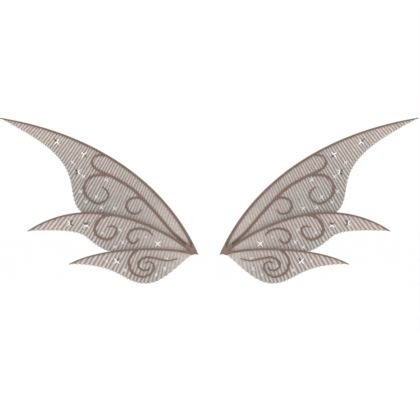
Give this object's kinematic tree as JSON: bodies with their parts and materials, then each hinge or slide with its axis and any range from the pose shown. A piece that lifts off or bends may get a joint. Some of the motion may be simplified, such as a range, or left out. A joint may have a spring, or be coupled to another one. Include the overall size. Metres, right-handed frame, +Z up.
{
  "type": "fairy wings",
  "caption": "Pair of pleated sheer fairy wings with brown spars, scrolls and star stones, each a fan of three leaves hinged on a base plate.",
  "frame": {"origin": "midway between the two wings, on the wearer's back, at the height of the wing roots", "axes": "+X to the right seen from behind the wearer, +Y towards the wearer, +Z up"},
  "size_m": [1.0008, 0.0448, 0.3966],
  "materials": {
    "pleated_cloth": "satin",
    "brown_cord": "satin",
    "star_stone": "gloss",
    "brown_plastic": "satin",
    "pin_steel": "satin"
  },
  "bodies": {
    "back_plates": {"left_base_plate": "brown_plastic", "left_hinge_pin": "pin_steel", "right_base_plate": "brown_plastic", "right_hinge_pin": "pin_steel"},
    "left_wing": {"left_wing_bracket": "brown_plastic", "left_pivot_post": "pin_steel", "left_stop_pin": "pin_steel", "left_rear_washer": "pin_steel", "left_middle_washer": "pin_steel", "left_front_washer": "pin_steel", "left_pivot_screw": "pin_steel", "left_root_cap": "brown_plastic", "left_upper_leaf_sheet": "pleated_cloth", "left_upper_spar": "brown_cord", "left_upper_vein": "brown_cord", "left_upper_scroll": "brown_cord", "left_upper_curl": "brown_cord", "left_upper_star_1": "star_stone", "left_upper_star_2": "star_stone", "left_upper_star_3": "star_stone"},
    "left_middle_leaf": {"left_middle_leaf_sheet": "pleated_cloth", "left_middle_spar": "brown_cord", "left_middle_scroll": "brown_cord", "left_middle_curl": "brown_cord", "left_middle_star_1": "star_stone", "left_middle_star_2": "star_stone", "left_middle_star_3": "star_stone"},
    "left_lower_leaf": {"left_lower_leaf_sheet": "pleated_cloth", "left_lower_spar": "brown_cord", "left_lower_scroll": "brown_cord", "left_lower_curl": "brown_cord", "left_lower_star_1": "star_stone"},
    "right_wing": {"right_wing_bracket": "brown_plastic", "right_pivot_post": "pin_steel", "right_stop_pin": "pin_steel", "right_rear_washer": "pin_steel", "right_middle_washer": "pin_steel", "right_front_washer": "pin_steel", "right_pivot_screw": "pin_steel", "right_root_cap": "brown_plastic", "right_upper_leaf_sheet": "pleated_cloth", "right_upper_spar": "brown_cord", "right_upper_vein": "brown_cord", "right_upper_scroll": "brown_cord", "right_upper_curl": "brown_cord", "right_upper_star_1": "star_stone", "right_upper_star_2": "star_stone", "right_upper_star_3": "star_stone"},
    "right_middle_leaf": {"right_middle_leaf_sheet": "pleated_cloth", "right_middle_spar": "brown_cord", "right_middle_scroll": "brown_cord", "right_middle_curl": "brown_cord", "right_middle_star_1": "star_stone", "right_middle_star_2": "star_stone", "right_middle_star_3": "star_stone"},
    "right_lower_leaf": {"right_lower_leaf_sheet": "pleated_cloth", "right_lower_spar": "brown_cord", "right_lower_scroll": "brown_cord", "right_lower_curl": "brown_cord", "right_lower_star_1": "star_stone"}
  },
  "joints": [
    {"name": "left_wing_swing", "type": "hinge", "parent": "back_plates", "child": "left_wing", "pos_m": [-0.038, -0.0061, 0.0102], "axis": [0, 0, 1], "range_deg": [0, 55]},
    {"name": "left_middle_leaf_fan", "type": "hinge", "parent": "left_wing", "child": "left_middle_leaf", "pos_m": [-0.038, -0.0194, 0.008], "axis": [0, 1, 0], "range_deg": [0, 25]},
    {"name": "left_lower_leaf_fan", "type": "hinge", "parent": "left_wing", "child": "left_lower_leaf", "pos_m": [-0.038, -0.0254, 0.008], "axis": [0, 1, 0], "range_deg": [0, 37]},
    {"name": "right_wing_swing", "type": "hinge", "parent": "back_plates", "child": "right_wing", "pos_m": [0.038, -0.0061, 0.0102], "axis": [0, 0, -1], "range_deg": [0, 55]},
    {"name": "right_middle_leaf_fan", "type": "hinge", "parent": "right_wing", "child": "right_middle_leaf", "pos_m": [0.038, -0.0194, 0.008], "axis": [0, -1, 0], "range_deg": [0, 25]},
    {"name": "right_lower_leaf_fan", "type": "hinge", "parent": "right_wing", "child": "right_lower_leaf", "pos_m": [0.038, -0.0254, 0.008], "axis": [0, -1, 0], "range_deg": [0, 37]}
  ]
}
